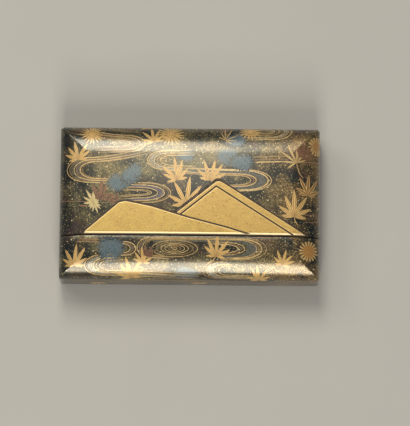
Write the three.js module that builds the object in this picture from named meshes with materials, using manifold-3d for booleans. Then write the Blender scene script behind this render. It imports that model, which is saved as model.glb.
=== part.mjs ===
// A small lacquer box, lying flat with its decorated face up.
// It is a low, softly rounded case in two flush pieces. The base is the front third and
// carries a thin riser, a sleeve that reaches into the lid. The lid is the rear part and
// pulls off along +Y. Two hills stand on the lid's face in low relief, cut straight along
// the seam. Millimetres, +Z up, the origin is at the centre of the underside.
import * as THREE from "three";
import { mergeVertices } from "three/addons/utils/BufferGeometryUtils.js";
import Module from "manifold-3d";

// The case as a whole
const LENGTH = 96; // left to right, along X
const DEPTH = 57; // front to back, along Y
const HEIGHT = 21.5; // underside to the middle of the face, without the hills
const CROWN = 1.2; // how far the face swells above the line of its shoulders
const SHOULDER_WIDTH = 10.5; // the rounding of the face's four edges, seen from above
const SHOULDER_DROP = 6; // the same rounding, seen from the side
const HEEL_RADIUS = 3; // the rounding under the side walls
const CORNER_RADIUS = 1.2; // the upright corners, seen from above

// Walls and fits
const WALL = 2.2; // the shell of both pieces
const BASE_DEPTH = 15.8; // from the front of the case to the seam
const SEAM_GAP = 0.3; // between the rims of the closed box
const RISER_WALL = 1.2;
const RISER_REACH = 12; // how far the riser goes into the lid, from the seam
const FIT_CLEARANCE = 0.3; // between the riser and the inside of the lid

// The hills, their heights measured from the seam along Y
const NEAR_RELIEF = 0.85; // how far the near hill stands above the face
const FAR_RELIEF = 0.6;
const NEAR_LEFT_FOOT = -40.8;
const NEAR_PEAK = -24.6;
const NEAR_HEIGHT = 12.5;
const NEAR_RIGHT_FOOT = 23;
const NEAR_BROW = 5; // how far the blunt top reaches to the right of its peak
const FAR_PEAK = 10.1;
const FAR_HEIGHT = 21.5;
const FAR_LEFT_FOOT = -16;
const FAR_RIGHT_FOOT = 43.6;
const GROOVE_WIDTH = 0.5; // the dark line that follows the far hill's outline
const GROOVE_DEPTH = 0.35;
const GROOVE_LEFT_BORDER = 1.7; // from the groove to the left slope
const GROOVE_RIGHT_BORDER = 2.4; // from the groove to the right slope

// How finely the round forms are divided
const CORNER_STEPS = 3;
const LENGTH_STEPS = 16;
const DEPTH_STEPS = 8;
const SHOULDER_STEPS = 8;
const HEEL_STEPS = 4;
const FACE_STEPS = 4;
const SLOPE_STEPS = 5;
const LINING_SHARE = 0.5; // hidden surfaces are divided this much as finely
const LEAST_ROUND = 0.3; // no rounding gets smaller than this inside a wall
const SPARE = 4; // how far a cutting block runs past what it cuts
const WELD = 1e-4;

const halfLength = LENGTH / 2;
const halfDepth = DEPTH / 2;
const seamY = BASE_DEPTH - halfDepth;
const riserInset = WALL + FIT_CLEARANCE;
const wellInset = riserInset + RISER_WALL;

const wasm = await Module();
wasm.setup();

// A closed three.js geometry as a solid that can be joined and cut.
function solid(geometry) {
  const bare = geometry.clone();
  bare.deleteAttribute("normal");
  bare.deleteAttribute("uv");
  const welded = mergeVertices(bare, WELD);
  const corners = welded.index.array;
  const kept = [];
  for (let i = 0; i < corners.length; i += 3) {
    const [a, b, c] = [corners[i], corners[i + 1], corners[i + 2]];
    if (a !== b && b !== c && c !== a) kept.push(a, b, c);
  }
  return new wasm.Manifold(new wasm.Mesh({
    numProp: 3,
    vertProperties: welded.attributes.position.array,
    triVerts: new Uint32Array(kept),
  }));
}

// A finished solid as a named mesh with its own material.
function piece(name, body, look) {
  const made = body.getMesh();
  const geometry = new THREE.BufferGeometry();
  geometry.setAttribute("position", new THREE.BufferAttribute(made.vertProperties, 3));
  geometry.setIndex(new THREE.BufferAttribute(made.triVerts, 1));
  geometry.computeVertexNormals();
  const mesh = new THREE.Mesh(geometry, new THREE.MeshStandardMaterial(look));
  mesh.name = name;
  return mesh;
}

// The outline of the case seen from above, drawn in from the edge, as a ring of points.
function planRing(inset, radius) {
  const alongX = halfLength - inset;
  const alongY = halfDepth - inset;
  const turn = Math.min(radius, alongX, alongY);
  const arcs = [[1, 1], [-1, 1], [-1, -1], [1, -1]].map(([sideX, sideY], quarter) => {
    const centre = new THREE.Vector2(sideX * (alongX - turn), sideY * (alongY - turn));
    return Array.from({ length: CORNER_STEPS + 1 }, (_, i) => {
      const angle = (quarter + i / CORNER_STEPS) * Math.PI / 2;
      return new THREE.Vector2(Math.cos(angle), Math.sin(angle)).multiplyScalar(turn).add(centre);
    });
  });
  return arcs.flatMap((arc, quarter) => {
    const from = arc[CORNER_STEPS];
    const to = arcs[(quarter + 1) % arcs.length][0];
    const steps = quarter % 2 ? DEPTH_STEPS : LENGTH_STEPS;
    const run = Array.from({ length: steps - 1 }, (_, i) => from.clone().lerp(to, (i + 1) / steps));
    return [...arc, ...run];
  });
}

// How far the face swells above its shoulders at a point.
function swell({ x, y }) {
  return CROWN * (1 - (x / halfLength) ** 2) * (1 - (y / halfDepth) ** 2);
}

// The form of the case, or the form of a wall's inside, drawn in by the same amount all round.
// A negative inset gives a skin that lies over the face, as the hills do.
function pillow(inset, fineness = 1) {
  const shoulderSteps = Math.max(2, Math.round(SHOULDER_STEPS * fineness));
  const heelSteps = Math.max(2, Math.round(HEEL_STEPS * fineness));
  const heel = Math.max(HEEL_RADIUS - inset, LEAST_ROUND);
  const width = Math.max(SHOULDER_WIDTH - inset, LEAST_ROUND);
  const drop = Math.max(SHOULDER_DROP - inset, LEAST_ROUND);
  const shoulderZ = HEIGHT - CROWN - inset - drop;
  const corner = (depth) => Math.max(CORNER_RADIUS - inset - depth, 0);
  const ring = (depth, height) => planRing(inset + depth, corner(depth))
    .map((point) => new THREE.Vector3(point.x, point.y, height(point)));

  const rings = [ring(halfDepth - inset, () => inset)];
  for (let i = heelSteps; i >= 0; i -= 1) {
    const angle = (i / heelSteps) * Math.PI / 2;
    rings.push(ring(heel * (1 - Math.cos(angle)), () => inset + heel * (1 - Math.sin(angle))));
  }
  for (let i = 0; i <= shoulderSteps; i += 1) {
    const angle = (i / shoulderSteps) * Math.PI / 2;
    rings.push(ring(width * (1 - Math.cos(angle)),
      (point) => shoulderZ + drop * Math.sin(angle) + swell(point)));
  }
  for (let i = 1; i <= FACE_STEPS; i += 1) {
    const depth = width + (halfDepth - inset - width) * (i / FACE_STEPS);
    rings.push(ring(depth, (point) => shoulderZ + drop + swell(point)));
  }

  const count = rings[0].length;
  const index = [];
  for (let level = 0; level + 1 < rings.length; level += 1) {
    for (let i = 0; i < count; i += 1) {
      const low = level * count;
      const high = low + count;
      const next = (i + 1) % count;
      index.push(low + i, low + next, high + next, low + i, high + next, high + i);
    }
  }
  const geometry = new THREE.BufferGeometry().setFromPoints(rings.flat());
  geometry.setIndex(index);
  return solid(geometry);
}

// A block as wide and tall as needed that keeps what lies between two values of Y.
function slab(fromY, toY) {
  const block = new THREE.BoxGeometry(LENGTH + 2 * SPARE, toY - fromY, HEIGHT + 4 * SPARE);
  block.translate(0, (fromY + toY) / 2, HEIGHT / 2);
  return solid(block);
}

// An upright prism over an outline in the plan.
function prism(points) {
  const outline = new THREE.Shape(points);
  const tall = new THREE.ExtrudeGeometry(outline, { depth: HEIGHT + SPARE, bevelEnabled: false });
  return solid(tall);
}

const point = (x, aboveSeam) => new THREE.Vector2(x, seamY + SEAM_GAP / 2 + aboveSeam);

// The line through two points, moved to its left by a distance, as a point and a direction.
function besideLine(from, to, distance) {
  const along = to.clone().sub(from).normalize();
  const left = new THREE.Vector2(-along.y, along.x);
  return { start: from.clone().addScaledVector(left, distance), along };
}

function meeting(one, other) {
  const gap = other.start.clone().sub(one.start);
  const share = gap.cross(other.along) / one.along.cross(other.along);
  return one.start.clone().addScaledVector(one.along, share);
}

function atHeight(line, y) {
  return line.start.clone().addScaledVector(line.along, (y - line.start.y) / line.along.y);
}

// A relief layer on the face: the part of the outline's prism that lies on the dome.
function relief(points, height) {
  return prism(points).intersect(pillow(-height)).subtract(pillow(WALL / 2));
}

// The near hill has a blunt top and a long, nearly straight slope.
function nearHill() {
  const foot = point(NEAR_RIGHT_FOOT, 0);
  const brow = point(NEAR_PEAK + NEAR_BROW, NEAR_HEIGHT - NEAR_BROW / 5);
  const hollow = point((NEAR_RIGHT_FOOT + NEAR_PEAK) / 2, NEAR_HEIGHT / 2);
  const slope = new THREE.QuadraticBezierCurve(foot, hollow, brow);
  return relief([
    point(NEAR_LEFT_FOOT, 0),
    ...slope.getPoints(SLOPE_STEPS),
    point(NEAR_PEAK + NEAR_BROW / 3, NEAR_HEIGHT),
    point(NEAR_PEAK - NEAR_BROW / 4, NEAR_HEIGHT - NEAR_BROW / 10),
  ], NEAR_RELIEF);
}

// The far hill is a plain peak with a groove that follows both its slopes.
function farHill() {
  const left = point(FAR_LEFT_FOOT, 0);
  const peak = point(FAR_PEAK, FAR_HEIGHT);
  const right = point(FAR_RIGHT_FOOT, 0);
  const edges = [0, GROOVE_WIDTH].map((step) => {
    const rightSide = besideLine(right, peak, GROOVE_RIGHT_BORDER + step);
    const leftSide = besideLine(peak, left, GROOVE_LEFT_BORDER + step);
    return [atHeight(rightSide, right.y), meeting(rightSide, leftSide), atHeight(leftSide, left.y)];
  });
  const groove = prism([...edges[0], ...edges[1].reverse()])
    .subtract(pillow(GROOVE_DEPTH - FAR_RELIEF));
  return relief([left, right, peak], FAR_RELIEF).subtract(groove);
}

function base() {
  const riserEnd = seamY + RISER_REACH;
  const shell = pillow(0).intersect(slab(-halfDepth - SPARE, seamY - SEAM_GAP / 2));
  const riser = pillow(riserInset, LINING_SHARE).intersect(slab(-halfDepth, riserEnd));
  // The well is moved forward, so that the front wall is as thick as the shell.
  const well = pillow(wellInset, LINING_SHARE).translate([0, WALL - wellInset, 0]);
  return shell.add(riser).subtract(well);
}

function lid() {
  const shell = pillow(0).intersect(slab(seamY + SEAM_GAP / 2, halfDepth + SPARE));
  const inside = pillow(WALL, LINING_SHARE);
  return shell.add(farHill()).add(nearHill()).subtract(inside);
}

const box = new THREE.Group();
box.add(
  piece("base", base(), { color: 0x3a3a2c, roughness: 0.25, metalness: 0.2 }),
  piece("lid", lid(), { color: 0x46452f, roughness: 0.25, metalness: 0.2 }),
);

export default box;
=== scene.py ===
# %% [markdown]
# # A small lacquer box
# The real box is thin wood under many coats of dark lacquer. While the last coats are
# wet, gold is sprinkled into them: fine dust for the ground, larger flakes for sparkle,
# and drawn leaves, flowers and water lines. Two hills are built up higher than the rest.
# The whole picture could be one painted image on a plain box. Here each layer is a mesh
# and each powder a pattern, because then the drawing stays sharp from near by and the
# gold has an edge that catches the light. The script starts from the box's fixed frame,
# which says how big each piece is. Everything is in metres, with +Z up.

# %% Open the frame
import bisect
import math
import random

import bmesh
import bpy
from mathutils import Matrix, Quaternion, Vector


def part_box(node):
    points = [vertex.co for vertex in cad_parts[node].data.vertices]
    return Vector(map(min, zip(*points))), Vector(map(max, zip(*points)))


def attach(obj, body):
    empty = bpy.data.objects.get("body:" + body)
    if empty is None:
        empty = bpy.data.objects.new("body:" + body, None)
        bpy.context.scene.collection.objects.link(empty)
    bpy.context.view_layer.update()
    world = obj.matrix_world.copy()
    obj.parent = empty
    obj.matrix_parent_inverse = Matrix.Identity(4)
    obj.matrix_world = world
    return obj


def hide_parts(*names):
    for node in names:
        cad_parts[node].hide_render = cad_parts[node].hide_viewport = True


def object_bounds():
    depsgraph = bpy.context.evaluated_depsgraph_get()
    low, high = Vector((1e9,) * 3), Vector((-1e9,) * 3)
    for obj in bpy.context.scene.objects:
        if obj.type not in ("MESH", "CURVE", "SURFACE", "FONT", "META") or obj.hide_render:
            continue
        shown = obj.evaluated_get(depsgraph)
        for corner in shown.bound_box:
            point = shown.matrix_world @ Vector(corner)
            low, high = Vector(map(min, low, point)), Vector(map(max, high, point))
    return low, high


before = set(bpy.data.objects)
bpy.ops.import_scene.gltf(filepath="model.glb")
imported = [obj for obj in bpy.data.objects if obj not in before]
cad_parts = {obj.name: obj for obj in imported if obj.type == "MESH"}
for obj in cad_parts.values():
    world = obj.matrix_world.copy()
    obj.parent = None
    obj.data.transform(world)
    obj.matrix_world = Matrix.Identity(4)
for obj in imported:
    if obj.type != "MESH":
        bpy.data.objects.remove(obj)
cad_low, cad_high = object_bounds()
print("frame from", tuple(cad_low), "to", tuple(cad_high))

# %% [markdown]
# The case is a pillow: flat underside, rounded heel, upright wall, then a wide shoulder
# that is a quarter of an ellipse, and a face that swells a little. All its sizes could be
# typed here. But the lengths that the frame holds are read from it, so that the two can't
# disagree, and only the others are typed. The ground lies a hair inside the frame,
# because the gold on it has a thickness too, and all of it should end within the frame.

# %% Sizes of the case
MM = 0.001
GROUND_SINK = 0.1 * MM
SEAM_GAP = 0.3 * MM
CROWN = 1.2 * MM
FACE_HEIGHT = 21.5 * MM
SHOULDER_WIDTH = 10.5 * MM
SHOULDER_DROP = 6 * MM
HEEL_RADIUS = 3 * MM
CORNER_RADIUS = 1.2 * MM
LEAST_ROUND = 0.3 * MM
WALL = 2.2 * MM
FIT_CLEARANCE = 0.3 * MM
RISER_WALL = 1.2 * MM
ARRIS = 0.18 * MM

half_length = (cad_high.x - cad_low.x) / 2
half_depth = (cad_high.y - cad_low.y) / 2
lid_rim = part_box("lid")[0].y
base_rim = lid_rim - SEAM_GAP
riser_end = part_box("base")[1].y
riser_inset = WALL + FIT_CLEARANCE
well_inset = riser_inset + RISER_WALL
print("seam at", round(base_rim / MM, 2), "mm, riser ends at", round(riser_end / MM, 2), "mm")


def swell(x, y):
    """How far the face rises above the line of its shoulders."""
    return CROWN * (1 - (x / half_length) ** 2) * (1 - (y / half_depth) ** 2)

# %% [markdown]
# A skin of the case could be a cube with a wide bevel. But a bevel is round, and this
# shoulder is an ellipse with a sharp ridge at each corner. So a skin is one flat grid
# that is bent into shape. Its lines sit closely where the form turns tightly. Each line
# belongs to a level of the profile, from the heel up over the wall and shoulder to the
# face. Where two lines cross, the lower level wins, and that gives the mitred ridges.

# %% Levels and grid lines
HEEL_ROWS = 7
WALL_ROWS = 5
SHOULDER_ROWS = 36
FACE_PITCH = 1.2 * MM
NEXT_TO_RIM = 0.45 * MM


def levels(inset):
    """(distance in from the outline, height) of each level of a skin."""
    heel = max(HEEL_RADIUS - inset, LEAST_ROUND)
    width = SHOULDER_WIDTH - inset
    drop = SHOULDER_DROP - inset
    foot = inset if inset > GROUND_SINK else 0.0
    wall_top = FACE_HEIGHT - CROWN - inset - drop
    found = []
    for i in range(HEEL_ROWS + 1):
        angle = i / HEEL_ROWS * math.pi / 2
        found.append((heel * (1 - math.sin(angle)), foot + heel * (1 - math.cos(angle))))
    for i in range(1, WALL_ROWS):
        share = i / WALL_ROWS
        found.append((0.0, (foot + heel) * (1 - share) + wall_top * share))
    for i in range(SHOULDER_ROWS + 1):
        angle = i / SHOULDER_ROWS * math.pi / 2
        found.append((width * (1 - math.cos(angle)), wall_top + drop * math.sin(angle)))
    return found


def grid_lines(half, rows, between):
    """(level, place) of each grid line across one direction."""
    low = [(level, -(half - depth)) for level, (depth, _) in enumerate(rows)]
    high = [(level, -place) for level, place in reversed(low)]
    return low + [(len(rows) - 1, place) for place in between] + high


def face_places(low, high, fixed=()):
    """Evenly spaced places between low and high that keep clear of the fixed ones."""
    places = set(fixed)
    count = max(2, round((high - low) / FACE_PITCH))
    for i in range(1, count):
        place = low + (high - low) * i / count
        if all(abs(place - kept) > NEXT_TO_RIM for kept in fixed):
            places.add(place)
    return sorted(places)


print(len(levels(GROUND_SINK)), "levels from the heel to the face")

# %% [markdown]
# The upright corners are rounded in plan. A bevel could do that afterwards, but it would
# eat into the ridges. So a grid point that lies in the corner's square is moved on to an
# arc, which gets smaller the further in the level lies. A cell that a ridge crosses is
# cut from corner to corner, so that no face is bent over the ridge.

# %% Corners and ridges
def in_plan(place_x, place_y, level_x, level_y, depth, half_x, half_y, corner):
    """Where a crossing of two grid lines lies, seen from above."""
    x = max(-(half_x - depth), min(half_x - depth, place_x))
    y = max(-(half_y - depth), min(half_y - depth, place_y))
    turn = corner - depth
    if turn <= 0:
        return x, y
    over_x = abs(x) - (half_x - corner)
    over_y = abs(y) - (half_y - corner)
    if over_x <= 0 or over_y <= 0:
        return x, y
    if level_x <= level_y:
        angle = math.pi / 4 * over_y / turn
    else:
        angle = math.pi / 2 - math.pi / 4 * over_x / turn
    x = math.copysign(half_x - corner + turn * math.cos(angle), x)
    y = math.copysign(half_y - corner + turn * math.sin(angle), y)
    return x, y


def split_along_ridges(where, columns, lines):
    """Cuts each cell that a mitre crosses from corner to corner."""
    by_place = {place: vert for vert, place in where.items()}
    last_x = len(columns) - 1
    last_y = len(lines) - 1
    for k in range(len(levels(0)) - 1):
        for i, j, di, dj in ((k, k, 1, 1), (last_x - k, k, -1, 1),
                             (k, last_y - k, 1, -1), (last_x - k, last_y - k, -1, -1)):
            one = by_place[(i, j)]
            other = by_place[(i + di, j + dj)]
            shared = set(one.link_faces) & set(other.link_faces)
            if shared:
                bmesh.utils.face_split(shared.pop(), one, other)

# %% [markdown]
# Now the skin itself: a grid from the operator, its points moved to their places, and
# what lies past the seam cut away. The same function makes the outside, the riser and
# the insides, because they differ only in how far they are drawn in.

# %% A skin of the case
FACE_COLUMNS = 64
SKIN_WELD = 0.002 * MM


def skin(bm, inset, low_y, high_y, cuts):
    """Adds the skin of the case at an inset, between two values of y, open where it is cut."""
    rows = levels(inset)
    half_x = half_length - inset
    half_y = half_depth - inset
    flat_x = half_x - rows[-1][0]
    flat_y = half_y - rows[-1][0]
    step = 2 * flat_x / FACE_COLUMNS
    columns = grid_lines(half_x, rows, [step * i - flat_x for i in range(1, FACE_COLUMNS)])
    lines = grid_lines(half_y, rows, face_places(-flat_y, flat_y, cuts))
    made = bmesh.ops.create_grid(
        bm, x_segments=len(columns) - 1, y_segments=len(lines) - 1, size=1)
    where = {}
    for vert in made["verts"]:
        i = round((vert.co.x + 1) / 2 * (len(columns) - 1))
        j = round((vert.co.y + 1) / 2 * (len(lines) - 1))
        where[vert] = (i, j)
    split_along_ridges(where, columns, lines)
    corner = max(CORNER_RADIUS - inset, 0)
    for vert, (i, j) in where.items():
        level_x, place_x = columns[i]
        level_y, place_y = lines[j]
        level = min(level_x, level_y)
        depth, height = rows[level]
        x, y = in_plan(place_x, place_y, level_x, level_y, depth, half_x, half_y, corner)
        rounded = level >= HEEL_ROWS + WALL_ROWS
        vert.co = Vector((x, y, height + (swell(x, y) if rounded else 0)))
    verts = list(where)
    outside = [face for face in {face for vert in verts for face in vert.link_faces}
               if not low_y < face.calc_center_median().y < high_y]
    bmesh.ops.delete(bm, geom=outside, context="FACES")
    verts = [vert for vert in verts if vert.is_valid]
    bmesh.ops.remove_doubles(bm, verts=verts, dist=SKIN_WELD)
    return [vert for vert in verts if vert.is_valid]

# %% [markdown]
# Each half of the case is built from such skins. A solidify could thicken the outer one,
# but the inside isn't the outside moved in: the riser and the wells have sizes of their
# own. So the outer and the inner skin are bridged round the rim, and the hole that the
# heel leaves in the underside is filled with one flat face.

# %% Close the underside and join the rims
SAME_PLACE = 0.01 * MM


def open_edges(verts):
    return {edge for vert in verts for edge in vert.link_edges if edge.is_boundary}


def at_rim(edge, place):
    return all(abs(vert.co.y - place) < SAME_PLACE for vert in edge.verts)


def close_underside(bm, verts, *rims):
    """Fills the flat bottom of a skin, with a straight edge along each rim."""
    lowest = min(vert.co.z for vert in verts)
    ring = [edge for edge in open_edges(verts)
            if all(vert.co.z < lowest + SAME_PLACE for vert in edge.verts)]
    for place in rims:
        ends = sorted((vert for vert in {vert for edge in ring for vert in edge.verts}
                       if abs(vert.co.y - place) < SAME_PLACE), key=lambda vert: vert.co.x)
        ring.append(bm.edges.new((ends[0], ends[-1])))
    bmesh.ops.contextual_create(bm, geom=list(set(ring)))


def join_rims(bm, one, other, place_one, place_other):
    edges = {edge for edge in open_edges(one) if at_rim(edge, place_one)}
    edges |= {edge for edge in open_edges(other) if at_rim(edge, place_other)}
    bmesh.ops.bridge_loops(bm, edges=list(edges))

# %% [markdown]
# No edge of lacquer is sharp, because the coats run thin over it. A small bevel does the
# same to the outer edge of each rim, and the seam then shows as two soft lines with a
# dark gap between them. The inner edge stays as it is. The edges are picked by where they
# lie, since a bevel of every edge would round the ridges too.

# %% Ease a rim
RIM_ANGLE = math.radians(69)


def surface_height(x, y):
    """Height of the ground over a point of the plan."""
    edge = min(half_length - abs(x), half_depth - abs(y)) - GROUND_SINK
    share = min(1.0, max(0.0, edge / (SHOULDER_WIDTH - GROUND_SINK)))
    drop = SHOULDER_DROP - GROUND_SINK
    return (FACE_HEIGHT - CROWN - GROUND_SINK - drop * (1 - math.sqrt(1 - (1 - share) ** 2))
            + swell(x, y))


def is_outer(edge):
    """True for an edge that lies on the outer skin of the case."""
    point = sum((vert.co for vert in edge.verts), Vector()) / 2
    near_side = half_length - abs(point.x) < WALL / 2
    near_top = point.z > surface_height(point.x, point.y) - WALL / 2
    return near_side or near_top or point.z < WALL / 2


def ease_rim(bm, place):
    """Takes the sharp arris off the outer edge of a rim."""
    sharp = [edge for edge in bm.edges if at_rim(edge, place) and len(edge.link_faces) == 2
             and edge.calc_face_angle() > RIM_ANGLE and is_outer(edge)]
    bmesh.ops.bevel(bm, geom=sharp, offset=ARRIS, offset_type="OFFSET", segments=3,
                    profile=0.5, affect="EDGES", material=-1, clamp_overlap=True)


print("a rim is eased by", ARRIS / MM, "mm")

# %% [markdown]
# A finished mesh becomes an object at the origin, smooth shaded, with its real edges kept
# sharp by their angle. Marking them by hand would work once, but not for thirty pieces.
# Each piece rides on the box's one body and carries its finish.

# %% Finish a piece
SHARP_ANGLE = math.radians(38)


def finish_piece(bm, name, material, slot, node=None):
    """The mesh as a piece of the box, with a finish, and the frame node it replaces."""
    bm.normal_update()
    for face in bm.faces:
        face.smooth = True
    for edge in bm.edges:
        edge.smooth = not (len(edge.link_faces) == 2 and edge.calc_face_angle(0) > SHARP_ANGLE)
    mesh = bpy.data.meshes.new(name)
    bm.to_mesh(mesh)
    bm.free()
    mesh.materials.append(material)
    piece = bpy.data.objects.new(name, mesh)
    bpy.context.scene.collection.objects.link(piece)
    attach(piece, "root")
    if node:
        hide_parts(node)
    print(name, len(mesh.polygons), "faces")

# %% [markdown]
# A material is a tree of nodes. It can be wired node by node, but then nobody can read
# it. These helpers place the nodes, so that a material reads as a recipe. Colours are
# written as they look on a screen and turned into the linear values of a shader.

# %% Helpers for materials
def paint(code):
    """A screen colour such as D9B25E as linear red, green, blue and alpha."""
    parts = [int(code[i:i + 2], 16) / 255 for i in (0, 2, 4)]
    linear = [p / 12.92 if p <= 0.04045 else ((p + 0.055) / 1.055) ** 2.4 for p in parts]
    return (*linear, 1.0)


def node(tree, kind, inputs=None, **settings):
    """A node of that kind. An input is a plain value or the output of another node."""
    made = tree.nodes.new(kind)
    for name, value in settings.items():
        setattr(made, name, value)
    for key, value in (inputs or {}).items():
        if isinstance(value, bpy.types.NodeSocket):
            tree.links.new(value, made.inputs[key])
        else:
            made.inputs[key].default_value = value
    return made


def sums(tree, operation, one, other=0.0):
    return node(tree, "ShaderNodeMath", {0: one, 1: other}, operation=operation).outputs[0]


def blend(tree, share, one, other):
    """The first colour at share 0, the second at share 1."""
    made = node(tree, "ShaderNodeMix", data_type="RGBA", clamp_factor=True)
    for key, value in ((0, share), (6, one), (7, other)):
        if isinstance(value, bpy.types.NodeSocket):
            tree.links.new(value, made.inputs[key])
        else:
            made.inputs[key].default_value = value
    return made.outputs[2]


def stretch(tree, value, low, high, to_low=0.0, to_high=1.0):
    """A value brought from one range to another, with soft ends."""
    return node(tree, "ShaderNodeMapRange", {
        "Value": value, "From Min": low, "From Max": high, "To Min": to_low, "To Max": to_high,
    }, interpolation_type="SMOOTHSTEP").outputs["Result"]


def cells(tree, place, size):
    """A pattern of random cells of about that size in metres."""
    return node(tree, "ShaderNodeTexVoronoi", {"Vector": place, "Scale": 1 / size},
                voronoi_dimensions="3D")


def cloud(tree, place, size, detail=3.0, roughness=0.55):
    """A soft noise with forms of about that size in metres."""
    return node(tree, "ShaderNodeTexNoise", {
        "Vector": place, "Scale": 1 / size, "Detail": detail, "Roughness": roughness,
    }, noise_dimensions="3D").outputs["Fac"]


def new_group(name, inputs, outputs):
    """A shader node group with named sockets. Returns its tree, its input and output node."""
    tree = bpy.data.node_groups.new(name, "ShaderNodeTree")
    kinds = {"colour": "NodeSocketColor", "number": "NodeSocketFloat"}
    for label, kind, value in inputs:
        socket = tree.interface.new_socket(label, in_out="INPUT", socket_type=kinds[kind])
        socket.default_value = value
    for label, kind in outputs:
        tree.interface.new_socket(label, in_out="OUTPUT", socket_type=kinds[kind])
    return tree, tree.nodes.new("NodeGroupInput").outputs, tree.nodes.new("NodeGroupOutput").inputs

# %% [markdown]
# The ground is dark lacquer with gold sprinkled in it. Particles could be the powder, but
# there would be a million of them, and they don't survive an export. So it is a pattern.
# A slow cloud and three pools make the gold lie thicker in places, as it does where
# powder drifts, and it is warmer towards the right end. Two more clouds tint the lacquer
# brown and plum. It is a node group, because the coloured powders lie in the same ground.

# %% The sprinkled ground as a node group
DRIFT_SIZE = 8 * MM
TINT_SIZE = 13 * MM
WARM_FROM = 18 * MM
WARM_TO = 40 * MM
DARK_LACQUER = "131A18"
BROWN_LACQUER = "3D3422"
PLUM_LACQUER = "3A2B2C"
POOL_SHARE = 0.1
POOLS = (((-0.02, -0.024, 0.019), 17 * MM), ((-0.029, 0.011, 0.021), 9 * MM),
         ((0.001, 0.021, 0.02), 18 * MM))

ground_tree, given, out = new_group(
    "sprinkled_ground",
    [("Density", "number", 1.0), ("Lacquer", "colour", paint(DARK_LACQUER))],
    [("Colour", "colour"), ("Metal", "number"), ("Roughness", "number"), ("Height", "number")])
place = node(ground_tree, "ShaderNodeTexCoord").outputs["Object"]
across = node(ground_tree, "ShaderNodeSeparateXYZ", {"Vector": place}).outputs["X"]
warm = stretch(ground_tree, across, WARM_FROM, WARM_TO)
drift = sums(ground_tree, "ADD", cloud(ground_tree, place, DRIFT_SIZE, 4.0, 0.6),
             stretch(ground_tree, warm, 0.0, 1.0, -0.04, 0.06))
for spot, reach in POOLS:
    away = node(ground_tree, "ShaderNodeVectorMath", {0: place, 1: spot}, operation="DISTANCE")
    pool = stretch(ground_tree, away.outputs["Value"], 0.3 * reach, reach, POOL_SHARE, 0.0)
    drift = sums(ground_tree, "ADD", drift, pool)
amount = sums(ground_tree, "MULTIPLY", drift, given["Density"])
tint = cloud(ground_tree, place, TINT_SIZE, 2.0)
second = node(ground_tree, "ShaderNodeMapping", {"Vector": place, "Location": (0.3, 0.1, 0.2)})
plum = cloud(ground_tree, second.outputs["Vector"], TINT_SIZE * 0.8, 2.0)
lacquer = blend(ground_tree, stretch(ground_tree, tint, 0.45, 0.62),
                given["Lacquer"], paint(BROWN_LACQUER))
lacquer = blend(ground_tree, stretch(ground_tree, plum, 0.56, 0.7), lacquer, paint(PLUM_LACQUER))
print("the gold lies thicker in", len(POOLS), "pools")

# %% [markdown]
# Three layers of gold go on that lacquer. A veil of the finest powder gives the olive
# tone, small cells are dust, and larger ones are flakes. One noise could speckle it all,
# but its spots would be soft and of one kind. In a pattern of cells each has a random
# number, which says if it holds gold and how bright it is.

# %% Veil, dust and flakes in the group
VEIL_OLIVE, VEIL_WARM = "807A55", "A9854C"
DUST_DARK, DUST_LIGHT = "5E573A", "B3A070"
FLAKE_DARK, FLAKE_LIGHT = "9A8352", "E9DDB4"
DUST_SIZE = 0.42 * MM
FLAKE_SIZE = 0.8 * MM
VEIL_GRAIN = 0.42 * MM


def sprinkle(tree, size, low, high, reach):
    """(mask, random number) of cells that hold gold, more of them where the drift is thick."""
    pattern = cells(tree, place, size)
    chance = node(tree, "ShaderNodeSeparateColor", {"Color": pattern.outputs["Color"]}).outputs
    bar = stretch(tree, amount, 0.3, 0.72, high, low)
    chosen = sums(tree, "GREATER_THAN", chance["Red"], bar)
    near = stretch(tree, pattern.outputs["Distance"], reach, reach * 0.6)
    return sums(tree, "MULTIPLY", chosen, near), chance["Green"]


grain = stretch(ground_tree, cloud(ground_tree, place, VEIL_GRAIN, 2.0, 0.6),
                0.36, 0.64, 0.12, 1.0)
veil = sums(ground_tree, "MULTIPLY", stretch(ground_tree, amount, 0.4, 0.66, 0.0, 0.63), grain)
veil_colour = blend(ground_tree, warm, paint(VEIL_OLIVE), paint(VEIL_WARM))
dust, dust_tone = sprinkle(ground_tree, DUST_SIZE, 0.5, 0.92, 0.6)
flake, flake_tone = sprinkle(ground_tree, FLAKE_SIZE, 0.86, 0.985, 0.36)
dust_colour = blend(ground_tree, dust_tone, paint(DUST_DARK), paint(DUST_LIGHT))
flake_colour = blend(ground_tree, flake_tone, paint(FLAKE_DARK), paint(FLAKE_LIGHT))
coloured = blend(ground_tree, veil, lacquer, veil_colour)
coloured = blend(ground_tree, sums(ground_tree, "MULTIPLY", dust, 0.8), coloured, dust_colour)
coloured = blend(ground_tree, flake, coloured, flake_colour)
ground_tree.links.new(coloured, out["Colour"])
ground_tree.links.new(stretch(ground_tree, flake, 0.0, 1.0, 0.6, 0.15), out["Metal"])
ground_tree.links.new(stretch(ground_tree, flake, 0.0, 1.0, 0.36, 0.6), out["Roughness"])
ground_tree.links.new(sums(ground_tree, "MULTIPLY", flake, flake_tone), out["Height"])
print("ground group has", len(ground_tree.nodes), "nodes")

# %% [markdown]
# Gold powder on lacquer isn't a mirror. It is a satin layer of grains, darker where it is
# thin, with small brown specks where the lacquer shows through. A plain gold colour would
# look like plastic film. So grain and specks are made once, in a group that all the drawn
# gold and the hills share.

# %% Gold powder as a node group
GRAIN_SIZE = 0.11 * MM
SPECK_SIZE = 1.25 * MM
PATCH_SIZE = 2.4 * MM
RICH_GOLD, WORN_GOLD = "D3A85C", "8A6428"
BRIGHT_GRAIN = "F0D492"
SPECK_BROWN = "6E4312"

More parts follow.
